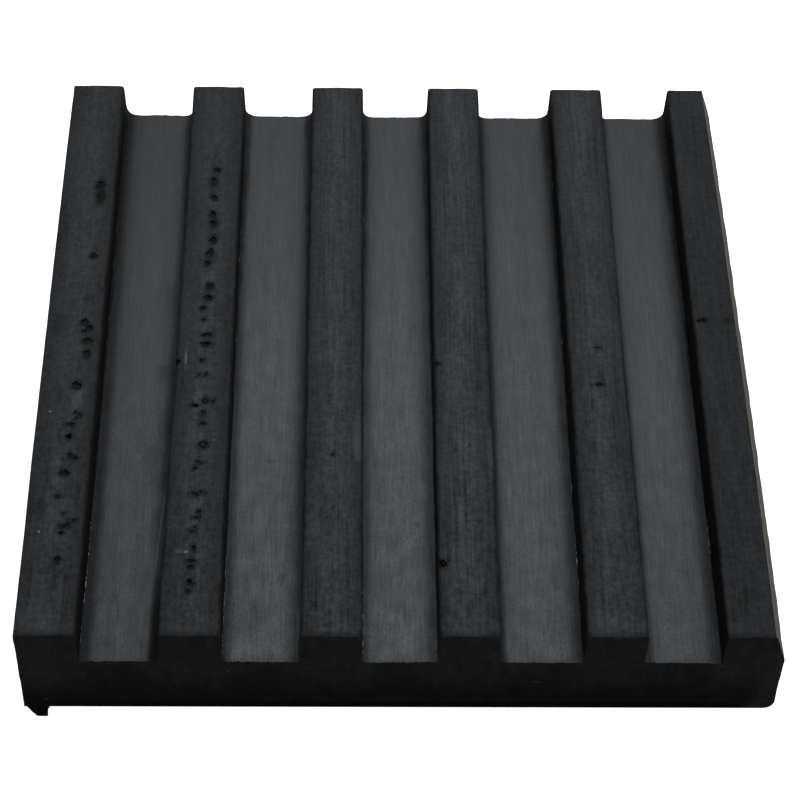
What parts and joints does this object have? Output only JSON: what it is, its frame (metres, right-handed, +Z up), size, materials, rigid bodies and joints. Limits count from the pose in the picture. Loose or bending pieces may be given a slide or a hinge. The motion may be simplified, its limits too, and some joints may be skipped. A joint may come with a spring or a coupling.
{
  "type": "anti-vibration pad",
  "caption": "Square rubber anti-vibration pad with parallel ribs and flat-bottomed grooves across its top, cut sides and a flat underside.",
  "frame": {"origin": "middle of the flat underside, measured along the front between the left top edge and the widest line of the right side", "axes": "+Z up from the underside to the rib tops, +Y along the ribs, away from the face with the torn nib, +X across them"},
  "size_m": [0.1014, 0.1017, 0.0178],
  "materials": {
    "rubber": "matte black rubber, darker on the rib tops and cut faces, smoother and lighter in the grooves"
  },
  "bodies": {
    "root": {"ribbed_pad": "rubber"}
  },
  "joints": []
}
